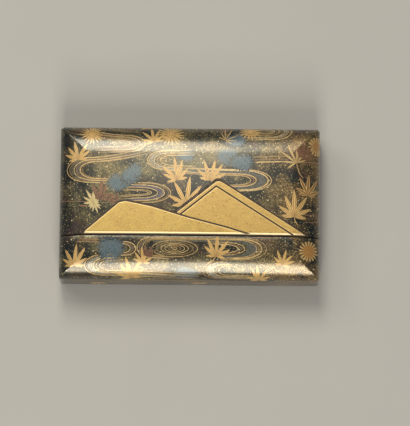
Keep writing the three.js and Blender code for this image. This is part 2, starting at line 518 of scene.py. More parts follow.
gold_tree, given, out = new_group(
    "gold_powder",
    [("Gold", "colour", paint(RICH_GOLD)), ("Thin", "colour", paint(WORN_GOLD)),
     ("Wear", "number", 0.25)],
    [("Colour", "colour"), ("Roughness", "number"), ("Height", "number")])
place = node(gold_tree, "ShaderNodeTexCoord").outputs["Object"]
grain = cloud(gold_tree, place, GRAIN_SIZE, 2.0, 0.7)
patchy = cloud(gold_tree, place, PATCH_SIZE, 3.0)
pits = cells(gold_tree, place, SPECK_SIZE)
pit_chance = node(gold_tree, "ShaderNodeSeparateColor", {"Color": pits.outputs["Color"]}).outputs
pit = sums(gold_tree, "MULTIPLY", sums(gold_tree, "GREATER_THAN", pit_chance["Red"], 0.7),
           stretch(gold_tree, pits.outputs["Distance"], 0.26, 0.12))
thin = sums(gold_tree, "MULTIPLY", stretch(gold_tree, patchy, 0.45, 0.75), given["Wear"])
coloured = blend(gold_tree, thin, given["Gold"], given["Thin"])
coloured = blend(gold_tree, stretch(gold_tree, grain, 0.3, 0.75, 0.0, 0.3),
                 coloured, paint(BRIGHT_GRAIN))
coloured = blend(gold_tree, sums(gold_tree, "MULTIPLY", pit, 0.7), coloured, paint(SPECK_BROWN))
gold_tree.links.new(coloured, out["Colour"])
gold_tree.links.new(stretch(gold_tree, grain, 0.3, 0.7, 0.5, 0.36), out["Roughness"])
gold_tree.links.new(sums(gold_tree, "SUBTRACT", grain, pit), out["Height"])
print("gold group has", len(gold_tree.nodes), "nodes")

# %% [markdown]
# Each finish is one Principled shader with a clear coat. The coat is the last layer of
# lacquer, and it gives the long soft highlights on the shoulders. A low roughness of the
# base could give them too, but then the gold would shine like the lacquer. The hills'
# thick gold lies on top of the coat and has a weaker one.

# %% Start a material
COAT_IOR = 1.65
COAT_ROUGHNESS = 0.2
BUMP_DEPTH = 0.02 * MM


def start_material(name, coat, coat_roughness):
    """A material with a clear coat. Returns it, its node tree and its shader."""
    material = bpy.data.materials.new(name)
    material.use_nodes = True
    tree = material.node_tree
    shader = tree.nodes["Principled BSDF"]
    shader.inputs["Coat Weight"].default_value = coat
    shader.inputs["Coat Roughness"].default_value = coat_roughness
    shader.inputs["Coat IOR"].default_value = COAT_IOR
    return material, tree, shader


def use_group(tree, group, **values):
    """Places a node group in a tree and gives it its values."""
    made = node(tree, "ShaderNodeGroup", node_tree=group)
    for key, value in values.items():
        if isinstance(value, bpy.types.NodeSocket):
            tree.links.new(value, made.inputs[key])
        else:
            made.inputs[key].default_value = value
    return made.outputs


def emboss(tree, shader, height, depth, strength):
    bump = node(tree, "ShaderNodeBump", {"Height": height, "Distance": depth, "Strength": strength})
    tree.links.new(bump.outputs["Normal"], shader.inputs["Normal"])

# %% [markdown]
# The ground's material places the group and hands its values to the shader. The larger
# flakes stand a little proud. A faint bump shows that, and the largest ones are added as
# real plates further down.

# %% The ground's finish
def ground_material(name):
    material, tree, shader = start_material(name, 0.8, COAT_ROUGHNESS)
    made = use_group(tree, ground_tree, Density=1.0, Lacquer=paint(DARK_LACQUER))
    tree.links.new(made["Colour"], shader.inputs["Base Color"])
    tree.links.new(made["Metal"], shader.inputs["Metallic"])
    tree.links.new(made["Roughness"], shader.inputs["Roughness"])
    emboss(tree, shader, made["Height"], BUMP_DEPTH, 0.2)
    return material


ground = ground_material("sprinkled_lacquer")
print("the ground's finish is", ground.name)

# %% [markdown]
# A leaf is drawn with a brush in powder of two tones: deeper at its heart, paler along
# its outline and its vein. An image could hold that. But each patch of a leaf knows how
# far along and across each point lies, so two ramps over these numbers draw the rim and
# the vein at any size. A hair of dark brown at the very edge is painted shadow, the shade
# between the lobes and round the leaf.

# %% Drawn gold
def own(tree, name):
    """A number that the piece's mesh carries at each vertex."""
    return node(tree, "ShaderNodeAttribute", attribute_name=name).outputs["Fac"]


# Painted shadow: the dark brown laid along the very edge of each drawn patch.
EDGE_SHADOW = "5A3C1C"


def drawn_gold_material(name, gold_code, deep_code, pale_code, wear, metal=0.3):
    """Gold that was drawn: deeper at the heart, paler along its outline and its vein."""
    material, tree, shader = start_material(name, 0.8, COAT_ROUGHNESS)
    side = sums(tree, "ABSOLUTE", own(tree, "across"))
    heart = stretch(tree, own(tree, "along"), 0.0, 0.72, 0.9, 0.0)
    depth = sums(tree, "MAXIMUM", heart, own(tree, "tone"))
    fill = blend(tree, depth, paint(gold_code), paint(deep_code))
    vein = sums(tree, "MULTIPLY", stretch(tree, side, 0.3, 0.12), stretch(tree, depth, 1.0, 0.6))
    rim = sums(tree, "MAXIMUM", stretch(tree, side, 0.55, 0.76), vein)
    fill = blend(tree, sums(tree, "MULTIPLY", rim, 0.85), fill, paint(pale_code))
    # Painted shadow along the very edge of the patch.
    fill = blend(tree, stretch(tree, side, 0.9, 0.98, 0.0, 0.42), fill, paint(EDGE_SHADOW))
    made = use_group(tree, gold_tree, Gold=fill, Wear=wear)
    tree.links.new(made["Colour"], shader.inputs["Base Color"])
    tree.links.new(made["Roughness"], shader.inputs["Roughness"])
    shader.inputs["Metallic"].default_value = metal
    emboss(tree, shader, made["Height"], BUMP_DEPTH, 0.4)
    return material


leaf_gold = drawn_gold_material("leaf_gold", "A36B18", "703A06", "ECCE88", 0.3)
pale_gold = drawn_gold_material("pale_gold", "A9986A", "85774A", "D8CEA0", 0.3)
skeleton_gold = drawn_gold_material("skeleton_gold", "A5865A", "84683F", "C9AE7C", 0.4)
print("three drawn golds")

# %% [markdown]
# All the water's lines are one piece, but not of one colour. Each carries its own tone,
# from cream gold over brown to rose. A material for each tone would also do, but one
# material with a number per line is shorter. A cloud rubs the lines away in places.

# %% The gold of the water's lines
RUBBED_BROWN = "4A3C28"
RUB_SIZE = 1.1 * MM


def water_material(name, bright_code, brown_code, rose_code):
    """Lines of water: from cream gold over brown to rose, as each line's own tone says."""
    material, tree, shader = start_material(name, 0.9, COAT_ROUGHNESS)
    tone = own(tree, "tone")
    fill = blend(tree, stretch(tree, tone, 0.1, 0.55), paint(bright_code), paint(brown_code))
    fill = blend(tree, stretch(tree, tone, 0.6, 0.9), fill, paint(rose_code))
    place = node(tree, "ShaderNodeTexCoord").outputs["Object"]
    rubbed = stretch(tree, cloud(tree, place, RUB_SIZE, 3.0), 0.48, 0.7, 0.0, 0.65)
    fill = blend(tree, rubbed, fill, paint(RUBBED_BROWN))
    made = use_group(tree, gold_tree, Gold=fill, Wear=0.6)
    tree.links.new(made["Colour"], shader.inputs["Base Color"])
    tree.links.new(made["Roughness"], shader.inputs["Roughness"])
    shader.inputs["Metallic"].default_value = 0.3
    return material


line_gold = water_material("line_gold", "CDB27E", "735628", "744A3C")
print("the lines' finish is", line_gold.name)

# %% [markdown]
# Coloured powder lies under the clear coat, dense in the middle of a form and scattered
# towards its edge. To blend two colours softly would look like smoke. So each cell of a
# fine pattern is either powder or ground, and fewer are powder the nearer the edge is.

# %% Coloured powders
POWDER_GRAIN = 0.18 * MM
POWDER_CLOUD = 1.6 * MM


def powder_material(name, powder_code, light_code, cover, edge_cover):
    """Coloured powder under the clear coat: dense in the middle and scattered at the edge."""
    material, tree, shader = start_material(name, 0.7, COAT_ROUGHNESS)
    under = use_group(tree, ground_tree, Density=1.0, Lacquer=paint(DARK_LACQUER))
    place = node(tree, "ShaderNodeTexCoord").outputs["Object"]
    grain = cells(tree, place, POWDER_GRAIN)
    chance = node(tree, "ShaderNodeSeparateColor", {"Color": grain.outputs["Color"]}).outputs
    side = sums(tree, "ABSOLUTE", own(tree, "across"))
    edge = stretch(tree, side, 0.5, 1.0, cover, edge_cover)
    clouds = stretch(tree, cloud(tree, place, POWDER_CLOUD, 2.0), 0.3, 0.5, 0.75, 1.0)
    mask = sums(tree, "LESS_THAN", chance["Red"], sums(tree, "MULTIPLY", edge, clouds))
    powder = blend(tree, chance["Green"], paint(powder_code), paint(light_code))
    tree.links.new(blend(tree, mask, under["Colour"], powder), shader.inputs["Base Color"])
    tree.links.new(sums(tree, "MULTIPLY", under["Metal"], stretch(tree, mask, 0.0, 1.0, 1.0, 0.5)),
                   shader.inputs["Metallic"])
    tree.links.new(under["Roughness"], shader.inputs["Roughness"])
    emboss(tree, shader, under["Height"], BUMP_DEPTH, 0.2)
    return material


slate = powder_material("slate_powder", "464C4C", "686B66", 0.75, 0.4)
silver = powder_material("silver_powder", "77766C", "A5A294", 0.8, 0.4)
umber = powder_material("umber_powder", "47443A", "67604F", 0.85, 0.6)
blue = powder_material("blue_powder", "465A68", "61747F", 0.95, 0.35)
red = powder_material("red_powder", "6E4838", "8E684F", 0.8, 0.15)
violet = powder_material("violet_powder", "534E5B", "6E6A7C", 0.7, 0.3)
print(len(bpy.data.materials), "materials")

# %% [markdown]
# Now the two halves of the case. The lid is an outer and an inner skin. The base has
# three: the outer skin, the outside of the riser, and the well inside both. The well is
# moved forward, so that the front wall is as thick as the shell. Booleans could hollow
# them out, but bridged skins leave clean rims to ease. The insides don't show while the
# box is closed, but the lid pulls off, so they are real too.

# %% Case halves
well_shift = well_inset - WALL

bm = bmesh.new()
outer = skin(bm, GROUND_SINK, lid_rim, half_depth, (base_rim, lid_rim))
close_underside(bm, outer, lid_rim)
inner = skin(bm, WALL, lid_rim, half_depth, (base_rim, lid_rim))
close_underside(bm, inner, lid_rim)
join_rims(bm, outer, inner, lid_rim, lid_rim)
bmesh.ops.recalc_face_normals(bm, faces=bm.faces)
ease_rim(bm, lid_rim)
finish_piece(bm, "lid_case", ground, "lacquer", "lid")

bm = bmesh.new()
outer = skin(bm, GROUND_SINK, -half_depth, base_rim, (base_rim, lid_rim))
close_underside(bm, outer, base_rim)
riser = skin(bm, riser_inset, base_rim, riser_end, (base_rim, riser_end))
close_underside(bm, riser, base_rim, riser_end)
join_rims(bm, outer, riser, base_rim, base_rim)
well_end = riser_end + well_shift
well = skin(bm, well_inset, -half_depth, well_end, (base_rim, well_end))
close_underside(bm, well, well_end)
bmesh.ops.translate(bm, verts=well, vec=(0, -well_shift, 0))
join_rims(bm, riser, well, riser_end, riser_end)
bmesh.ops.recalc_face_normals(bm, faces=bm.faces)
ease_rim(bm, base_rim)
finish_piece(bm, "base_case", ground, "lacquer", "base")

# %% [markdown]
# The picture runs over the shoulders and down the walls. If it were projected from above,
# it would be stretched there. So it is drawn on a plan that is unrolled: distances from
# the middle are measured along the surface. The next functions lay a point of that plan
# on the case. A table of the shoulder's arc turns a distance along it into an angle.

# %% Lay a drawing on the case
ARC_STEPS = 240
lay_width = SHOULDER_WIDTH - GROUND_SINK
lay_drop = SHOULDER_DROP - GROUND_SINK
lay_half = (half_length - GROUND_SINK, half_depth - GROUND_SINK)
face_line = FACE_HEIGHT - CROWN - GROUND_SINK

arc_angles = [i / ARC_STEPS * math.pi / 2 for i in range(ARC_STEPS + 1)]
arc_lengths = [0.0]
for one, other in zip(arc_angles, arc_angles[1:]):
    run = lay_width * (math.sin(other) - math.sin(one))
    fall = lay_drop * (math.cos(one) - math.cos(other))
    arc_lengths.append(arc_lengths[-1] + math.hypot(run, fall))
shoulder_arc = arc_lengths[-1]
print("the shoulder's arc is", round(shoulder_arc / MM, 2), "mm long")


def over_shoulder(distance):
    """(run outwards, fall, tilt of the surface) at a distance past the shoulder's start."""
    if distance <= 0:
        return distance, 0.0, 0.0
    if distance >= shoulder_arc:
        return lay_width, lay_drop + distance - shoulder_arc, math.pi / 2
    i = bisect.bisect_left(arc_lengths, distance)
    share = (distance - arc_lengths[i - 1]) / (arc_lengths[i] - arc_lengths[i - 1])
    angle = arc_angles[i - 1] + share * (arc_angles[i] - arc_angles[i - 1])
    tilt = math.atan2(math.sin(angle) / lay_width, math.cos(angle) / lay_drop)
    return lay_width * math.sin(angle), lay_drop * (1 - math.cos(angle)), tilt


def lay(across, up, lift):
    """The point of the case under a point of the unrolled plan, lifted off the ground."""
    run_x, fall_x, tilt_x = over_shoulder(abs(across) - (lay_half[0] - lay_width))
    run_y, fall_y, tilt_y = over_shoulder(abs(up) - (lay_half[1] - lay_width))
    x = math.copysign(lay_half[0] - lay_width + run_x, across)
    y = math.copysign(lay_half[1] - lay_width + run_y, up)
    corner = CORNER_RADIUS - GROUND_SINK
    over = Vector((abs(x) - lay_half[0] + corner, abs(y) - lay_half[1] + corner))
    if over.x > 0 and over.y > 0 and over.length > corner:
        over *= corner / over.length
        x = math.copysign(lay_half[0] - corner + over.x, x)
        y = math.copysign(lay_half[1] - corner + over.y, y)
    if fall_x > fall_y:
        normal = Vector((math.copysign(math.sin(tilt_x), across), 0, math.cos(tilt_x)))
    else:
        normal = Vector((0, math.copysign(math.sin(tilt_y), up), math.cos(tilt_y)))
    level = face_line - max(fall_x, fall_y) + swell(x, y)
    return Vector((x, y, level)) + normal * lift

# %% [markdown]
# Every motif is made of patches: small grids whose points a formula moves to their places
# on the plan. Curves turned into meshes could do, but they carry no numbers across their
# width, and the materials need those for rims and veins. All patches of one kind become
# one piece: cut at the seam, laid on the case, and given a little thickness, because on
# the real box the drawing stands a few hundredths of a millimetre above the ground.

# %% Patches
LAYER_THICKNESS = 0.045 * MM
PICTURE_SHIFT = 0.45 * MM
WELD = 0.0012 * MM
ON_CUT = 1e-7
WALL_REACH = 14
SEED = 11


class Drawing:
    """Patches of one kind, gathered while they are still flat."""

    def __init__(self, name):
        self.name = name
        self.bm = bmesh.new()
        self.along = self.bm.verts.layers.float.new("along")
        self.across = self.bm.verts.layers.float.new("across")
        self.tone = self.bm.verts.layers.float.new("tone")

    def patch(self, shape, along, across, tone, lift, round_disc=False):
        """shape takes u from 0 to 1 and v from -1 to 1, and gives a point in millimetres."""
        made = bmesh.ops.create_grid(self.bm, x_segments=along, y_segments=across, size=1)
        for vert in made["verts"]:
            u = (vert.co.x + 1) / 2
            v = vert.co.y
            x, y = shape(u, v)
            vert[self.along] = 0.3 if round_disc else u
            vert[self.across] = (v + 1) / 2 if round_disc else v
            vert[self.tone] = tone
            vert.co = Vector((x * MM, y * MM, lift * MM))
        return made["verts"]

    def laid(self, material, slot, low_y, high_y, suffix):
        """A copy of the drawing cut to one half of the case and laid on it, as a piece."""
        bm = self.bm.copy()
        bmesh.ops.translate(bm, verts=bm.verts, vec=(0, PICTURE_SHIFT, 0))
        for place, side in ((low_y, -1), (high_y, 1)):
            bmesh.ops.bisect_plane(bm, geom=bm.verts[:] + bm.edges[:] + bm.faces[:],
                                   dist=ON_CUT, plane_co=(0, place, 0), plane_no=(0, side, 0),
                                   clear_outer=True)
        if not bm.faces:
            bm.free()
            return
        bmesh.ops.remove_doubles(bm, verts=bm.verts, dist=WELD)
        stray = [vert for vert in bm.verts if not vert.link_faces]
        bmesh.ops.delete(bm, geom=stray, context="VERTS")
        bm.normal_update()
        bmesh.ops.reverse_faces(bm, faces=[face for face in bm.faces if face.normal.z < 0])
        for vert in bm.verts:
            vert.co = lay(vert.co.x, vert.co.y, vert.co.z)
        bm.normal_update()
        bmesh.ops.solidify(bm, geom=bm.faces[:], thickness=LAYER_THICKNESS)
        finish_piece(bm, self.name + suffix, material, slot)


UNROLLED_END = half_depth / MM + WALL_REACH
random.seed(SEED)
print("a drawing may reach", round(UNROLLED_END, 1), "mm from the middle")

# %% [markdown]
# A maple leaf has seven pointed lobes that spring from one heart. Its outline could be
# one polygon, but then it would have no veins. So each lobe is a patch that is widest
# before its middle and has small teeth. The lobes lie a hair above each other, the middle
# one on top, so that their edges stay crisp. Lengths and turns vary a little by chance.

# %% Maple leaves
LOBES = ((92, 0.48), (-92, 0.48), (61, 0.72), (-61, 0.72), (31, 0.9), (-31, 0.9), (0, 1.0))
LEAF_LIFT = 0.03
LIFT_STEP = 0.003
TEETH = 7


def lobe(heart, length, turn, width, bend):
    """The shape of one lobe: a tapering leaf form with a toothed edge."""
    angle = math.radians(turn)

    def shape(u, v):
        body = (u ** 0.85) * ((1 - u) ** 0.95) * 2.2
        saw = 1 + 0.18 * ((u * TEETH) % 1 - 0.5) * (1 if u > 0.25 else 0)
        side = v * width * body * saw
        forward = length * u
        side += bend * length * u * u
        return (heart[0] + forward * math.sin(angle) + side * math.cos(angle),
                heart[1] + forward * math.cos(angle) - side * math.sin(angle))
    return shape


def stroke(points, width):
    """A drawn line through a few points, thinner towards its ends."""
    def shape(u, v):
        place, ahead = along_points(points, u), along_points(points, min(u + 0.01, 1.01))
        run = math.hypot(ahead[0] - place[0], ahead[1] - place[1]) or 1
        half = width / 2 * min(1.0, 0.25 + 6 * u, 0.25 + 6 * (1 - u))
        return (place[0] - v * half * (ahead[1] - place[1]) / run,
                place[1] + v * half * (ahead[0] - place[0]) / run)
    return shape


def along_points(points, share):
    """A point on the smooth line through a list of points."""
    spot = share * (len(points) - 1)
    i = max(0, min(len(points) - 2, int(spot)))
    t = spot - i
    before = points[max(i - 1, 0)]
    after = points[min(i + 2, len(points) - 1)]
    one, other = points[i], points[i + 1]
    return tuple(
        0.5 * (2 * b + (c - a) * t + (2 * a - 5 * b + 4 * c - d) * t * t
               + (3 * b - a - 3 * c + d) * t ** 3)
        for a, b, c, d in zip(before, one, other, after))


def maple(drawing, heart, length, turn, tone, stem=None, width=0.13, spread=1.0):
    for i, (angle, share) in enumerate(LOBES):
        lean = turn + angle * spread + random.uniform(-5, 5)
        reach = length * share * random.uniform(0.93, 1.07)
        bend = random.uniform(-0.06, 0.06)
        drawing.patch(lobe(heart, reach, lean, length * width * (0.6 + 0.4 * share), bend),
                      18, 6, min(1.0, tone + random.uniform(0, 0.25)), LEAF_LIFT + LIFT_STEP * i)
    if stem:
        drawing.patch(stroke([heart, *stem], 0.3), 14, 1, tone, LEAF_LIFT)


gold_leaves = Drawing("gold_leaves")
maple(gold_leaves, (-41.3, 15.0), 7.4, -6, 0.4)
maple(gold_leaves, (-13.3, 21.9), 6.6, -16, 0.2)
maple(gold_leaves, (-4.7, 7.6), 8.3, -11, 0.1)
maple(gold_leaves, (-1.3, -1.8), 10.4, 5, 0.0, width=0.12)
maple(gold_leaves, (7.4, 7.5), 8.2, 13, 0.1)
maple(gold_leaves, (43.5, 2.6), 7.8, 6, 0.85)
maple(gold_leaves, (38.4, -5.6), 9.6, 3, 0.45, stem=((38.9, -7.6), (39.8, -8.8)))
maple(gold_leaves, (-42.1, -24.6), 8.3, 1, 0.5)
maple(gold_leaves, (-21.1, -29.4), 8.4, -10, 0.05)
maple(gold_leaves, (-16.9, -23.4), 5.8, -6, 0.0)
maple(gold_leaves, (9.8, -20.6), 7.8, 5, 0.05, stem=((8.8, -22.2), (6.6, -23.4)))
maple(gold_leaves, (25.7, -30.4), 6.8, -3, 0.05)
maple(gold_leaves, (34.2, -23.6), 6.2, 12, 0.1)
maple(gold_leaves, (-16.1, 28.8), 4.8, -9, 0.4)

skeleton_leaves = Drawing("skeleton_leaves")
maple(skeleton_leaves, (13.0, 22.8), 6.2, 30, 0.2, width=0.055)
maple(skeleton_leaves, (39.2, 14.4), 8.0, -24, 0.3, width=0.08,
      stem=((39.5, 13.0), (40.4, 10.4), (41.8, 8.7)))

pale_leaves = Drawing("pale_leaves")
maple(pale_leaves, (-35.2, -1.2), 5.2, -34, 0.2, width=0.15)
maple(pale_leaves, (-35.15, -1.3), 4.0, 160, 0.3, width=0.14, spread=0.8)

red_leaves = Drawing("red_leaves")
maple(red_leaves, (-33.0, 0.4), 6.6, -2, 0.5, width=0.24)
maple(red_leaves, (-28.6, -0.8), 4.2, 40, 0.5, width=0.24)
maple(red_leaves, (41.6, 16.4), 6.8, 4, 0.5, width=0.2)
maple(red_leaves, (-15.2, -21.0), 4.4, -10, 0.5, width=0.26)
maple(red_leaves, (11.5, 28.0), 5.5, 30, 0.5, width=0.2)
print("the leaves are drawn")

# %% [markdown]
# A chrysanthemum is a wheel of narrow petals, with points or with round ends, that stand
# off from each other round a middle disc. One star-shaped disc would be simpler, but the
# dark gaps between the petals would be lost. The disc is a patch rolled up on itself, and
# its pole is welded.

# %% Chrysanthemums
FLOWER_LIFT = 0.036
DISC_LIFT = 0.044


def petal(centre, inner, outer, turn, half_width, pointed):
    angle = math.radians(turn)

    def shape(u, v):
        forward = inner + (outer - inner) * u
        if pointed:
            body = min(1.0, 0.5 + u * 1.4) * (1 - u ** 2.2)
        else:
            body = (0.55 + 0.45 * u) * math.sqrt(max(0.0, 1 - max(0.0, (u - 0.72) / 0.28) ** 2))
        side = v * half_width * max(body, 0.02)
        return (centre[0] + forward * math.sin(angle) + side * math.cos(angle),
                centre[1] + forward * math.cos(angle) - side * math.sin(angle))
    return shape


def wheel(centre, radius_of):
    """A disc whose radius is a function of the angle. v is -1 in the middle, 1 at the edge."""
    def shape(u, v):
        angle = u * 2 * math.pi
        radius = radius_of(angle) * (v + 1) / 2
        return centre[0] + radius * math.cos(angle), centre[1] + radius * math.sin(angle)
    return shape


def chrysanthemum(drawing, centre, radius, petals, disc, tone, pointed=True):
    half_width = math.pi * radius * 0.8 / petals * (0.52 if pointed else 0.66)
    for i in range(petals):
        turn = 360 * i / petals + random.uniform(-3, 3) * pointed
        reach = radius * random.uniform(0.88 if pointed else 0.96, 1.0)
        drawing.patch(petal(centre, radius * disc * 0.8, reach, turn, half_width, pointed),
                      8, 2, tone, FLOWER_LIFT + LIFT_STEP * (i % 2))
    disc_tone = 0.2 if pointed else 0.6 * tone
    heart = drawing.patch(wheel(centre, lambda angle: radius * disc), 28, 3, disc_tone,
                          DISC_LIFT, round_disc=True)
    for vert in heart:
        vert[drawing.across] = 0.66 if pointed else 0.57
        vert[drawing.along] = 0.8


chrysanthemums = Drawing("chrysanthemums")
chrysanthemum(chrysanthemums, (-36.1, 25.0), 5.0, 19, 0.24, 0.3)
chrysanthemum(chrysanthemums, (-7.2, 25.2), 5.6, 19, 0.24, 0.3)
chrysanthemum(chrysanthemums, (22.2, 27.0), 4.7, 15, 0.24, 0.4)
chrysanthemum(chrysanthemums, (47.4, 21.0), 3.9, 15, 0.46, 0.5, pointed=False)
chrysanthemum(chrysanthemums, (44.0, -18.4), 3.95, 17, 0.56, 0.65, pointed=False)
print("five chrysanthemums are drawn")

# %% [markdown]
# The blue flowers are soft spots of powder with a toothed edge, like pinks. They have no
# petals to draw, so one rolled-up patch is enough: an oval whose radius goes up and down
# with the angle. Some lie just over the water's lines, some just under them, and all of
# them lie under the leaves.

# %% Serrated flowers
OVER_LINES = 0.026
NEXT_OVER = 0.027
UNDER_LINES = 0.016


def serrated(drawing, centre, long, short, turn, teeth, lift):
    """A flower like a pink: an oval with a toothed, slightly wandering edge."""
    lean = math.radians(turn)
    phase = random.uniform(0, 6)

    def radius(angle):
        turned = angle - lean
        oval = long * short / math.hypot(short * math.cos(turned), long * math.sin(turned))
        tooth = abs((angle * teeth / (2 * math.pi)) % 1 - 0.5) * 2
        return oval * (0.84 + 0.24 * tooth + 0.07 * math.sin(3 * angle + phase))
    drawing.patch(wheel(centre, radius), teeth * 6, 6, 0.5, lift, round_disc=True)


blue_flowers = Drawing("blue_flowers")
serrated(blue_flowers, (-26.0, 6.5), 5.2, 3.6, 12, 21, OVER_LINES)
serrated(blue_flowers, (-21.4, 9.4), 4.9, 3.5, 40, 19, NEXT_OVER)
serrated(blue_flowers, (13.6, 16.4), 4.6, 3.6, 10, 19, OVER_LINES)
serrated(blue_flowers, (19.2, 14.2), 4.8, 3.4, -8, 20, NEXT_OVER)
serrated(blue_flowers, (17.2, 23.0), 4.4, 3.0, 15, 19, UNDER_LINES)
serrated(blue_flowers, (-1.5, 16.6), 3.6, 2.4, 5, 15, UNDER_LINES)
serrated(blue_flowers, (-28.8, -18.6), 5.2, 5.2, 20, 21, OVER_LINES)
serrated(blue_flowers, (-1.2, -27.2), 5.2, 2.8, 0, 19, UNDER_LINES)
print("the blue flowers are drawn")

# %% [markdown]
# Flowing water is drawn as hairpins: nested lines that run in, turn round, and run back.
# They could be traced point by point. Instead one hairpin is set by its tip, the way it
# opens, the length and height of its turn, and its two arms. Each nested line lies a
# little further in, and the lines come closer on the arms than at the tip, as they do
# when a brush draws them. Powder of a quiet colour fills the space between some lines.

# %% Lines of water
RIPPLE_WIDTH = 0.24
LINE_LIFT = 0.022
BAND_LIFT = 0.01
TURN_SHARE = 0.42


def hairpin(tip, way, turn, height, upper, lower, squeeze):
    """A function of (how far in, share of the line) that gives a point of the plan."""
    def point(inside, share):
        half = max(0.15, height / 2 - inside * squeeze)
        reach = max(0.4, turn - inside * 0.5)
        start = tip[0] + way * (turn + inside * 0.5)
        side = share * 2 - 1
        if abs(side) < TURN_SHARE:
            angle = side / TURN_SHARE * math.pi / 2
            return start - way * reach * math.cos(angle), tip[1] - half * math.sin(angle)
        arm = (abs(side) - TURN_SHARE) / (1 - TURN_SHARE)
        length, rise = upper if side < 0 else lower
        return (start + way * length * arm,
                tip[1] + math.copysign(half, -side) + rise * arm ** 1.5)
    return point


def flow(tip, way, turn, height, upper, lower, squeeze, nested, bands):
    """One hairpin: lines given by (how far in, width, tone), bands by (from, to, drawing)."""
    point = hairpin(tip, way, turn, height, upper, lower, squeeze)
    size = 2 * turn + height + upper[0] + lower[0]
    steps = max(40, int(size * 2.4))
    for inside, width, tone in nested:
        def line(u, v, inside=inside, width=width):
            share = min(u, 0.998)
            here, ahead = point(inside, share), point(inside, share + 0.002)
            run = math.hypot(ahead[0] - here[0], ahead[1] - here[1]) or 1
            half = width / 2 * min(1.0, 0.15 + 5 * u, 0.15 + 5 * (1 - u))
            at = point(inside, u)
            return (at[0] - v * half * (ahead[1] - here[1]) / run,
                    at[1] + v * half * (ahead[0] - here[0]) / run)
        water_lines.patch(line, steps, 2, tone, LINE_LIFT)
    for low, high, drawing in bands:
        def band(u, v, low=low, high=high):
            return point((low + high) / 2 + v * (high - low) / 2, 0.06 + 0.88 * u)
        drawing.patch(band, steps, 4, 0.5, BAND_LIFT)


def streak(start, end, bow, width, tone):
    """One nearly straight line that bows a little."""
    middle = ((start[0] + end[0]) / 2, (start[1] + end[1]) / 2 + bow)
    steps = max(8, int(math.dist(start, end) * 1.6))
    water_lines.patch(stroke([start, middle, end], width), steps, 2, tone, LINE_LIFT)


def ripple(centre, radii, flatness, tones=(0.1, 0.45, 0.25)):
    """Rings round one point, flattened."""
    for i, radius in enumerate(radii):
        def ring(u, v, radius=radius):
            angle = 2 * math.pi * u
            wide = radius + v * RIPPLE_WIDTH / 2
            return (centre[0] + wide * math.cos(angle),
                    centre[1] + (wide - radius * (1 - flatness)) * math.sin(angle))
        water_lines.patch(ring, 48, 2, tones[i % len(tones)], LINE_LIFT)


water_lines = Drawing("water_lines")
print("a line of water is", RIPPLE_WIDTH, "mm wide")

# %% [markdown]
# Twelve hairpins and three sets of rings make the water of the face. Four kinds of band
# lie between the lines. One drawing could hold them all, but a piece has one finish, and
# each band has its own powder, so each kind is a drawing. The widths and tones have
# names, as a painter has a few brushes and a few colours.

# %% The water on the face
slate_bands = Drawing("slate_bands")
silver_bands = Drawing("silver_bands")
umber_bands = Drawing("umber_bands")
violet_bands = Drawing("violet_bands")
CREAM, GOLD_LINE, BROWN, ROSE = 0.05, 0.25, 0.5, 0.9
FINE, PLAIN, BOLD = 0.2, 0.28, 0.4
flow((-45.5, 11.0), 1, 8.6, 9.3, (20, 3.4), (9, -0.6), 0.28,
     ((0, PLAIN, CREAM), (1.0, FINE, BROWN), (2.8, PLAIN, CREAM), (3.6, FINE, ROSE),
      (5.1, BOLD, GOLD_LINE), (6.0, FINE, BROWN)),
     ((1.1, 2.6, umber_bands), (3.8, 4.9, umber_bands)))
flow((-16.6, 21.2), -1, 7, 6.8, (20, 3.6), (10, -0.3), 0.4,
     ((0, PLAIN, CREAM), (0.8, FINE, ROSE), (1.9, PLAIN, GOLD_LINE), (2.9, FINE, BROWN),
      (4.2, PLAIN, ROSE), (5.4, FINE, GOLD_LINE)), ((2.0, 2.8, umber_bands),))
flow((-15.6, 14.8), 1, 7, 7.4, (9, 0.3), (9, -0.6), 0.4,
     ((0, PLAIN, CREAM), (0.7, FINE, GOLD_LINE), (2.4, PLAIN, CREAM), (3.4, FINE, GOLD_LINE),
      (4.6, PLAIN, CREAM)), ((0.9, 2.2, silver_bands),))
flow((30.0, 7.6), -1, 9, 7.8, (28, 0.9), (8, -1.0), 0.28,
     ((0, PLAIN, CREAM), (1.2, BOLD, CREAM), (5.6, BOLD, GOLD_LINE), (6.6, FINE, ROSE),
      (7.6, PLAIN, GOLD_LINE)), ((1.5, 5.3, slate_bands),))
flow((-7.0, 2.6), -1, 9, 7.4, (12, 0.5), (7, -0.6), 0.36,
     ((0, PLAIN, GOLD_LINE), (0.8, FINE, BROWN), (2.3, PLAIN, CREAM), (4.8, PLAIN, GOLD_LINE),
      (7.0, FINE, CREAM), (8.1, FINE, GOLD_LINE)), ((2.5, 4.6, violet_bands),))
flow((37.5, 27.4), -1, 6, 8, (4, 0), (12, -0.6), 0.4,
     ((0, PLAIN, CREAM), (1.3, FINE, GOLD_LINE), (2.6, PLAIN, CREAM), (4.6, FINE, GOLD_LINE),
      (6.3, PLAIN, CREAM), (7.5, FINE, GOLD_LINE)), ((1.5, 2.4, silver_bands),))
flow((28.3, -17.9), -1, 8, 7.8, (38, 0.0), (8, -0.5), 0.22,
     ((0, FINE, GOLD_LINE), (1.7, BOLD, CREAM), (2.8, FINE, BROWN), (3.6, FINE, GOLD_LINE)),
     ((3.2, 7.2, slate_bands),))
flow((20.4, -17.9), -1, 7, 4.6, (6, 0.3), (3, 0.0), 0.3,
     ((0, PLAIN, GOLD_LINE), (1.3, FINE, ROSE), (2.4, PLAIN, CREAM)), ())
flow((-19.1, -17.7), 1, 5, 7.4, (32, 0.0), (7, -0.5), 0.3,
     ((0, PLAIN, CREAM), (0.8, FINE, ROSE), (2.0, FINE, GOLD_LINE), (2.8, PLAIN, BROWN)),
     ((0.9, 1.9, umber_bands),))
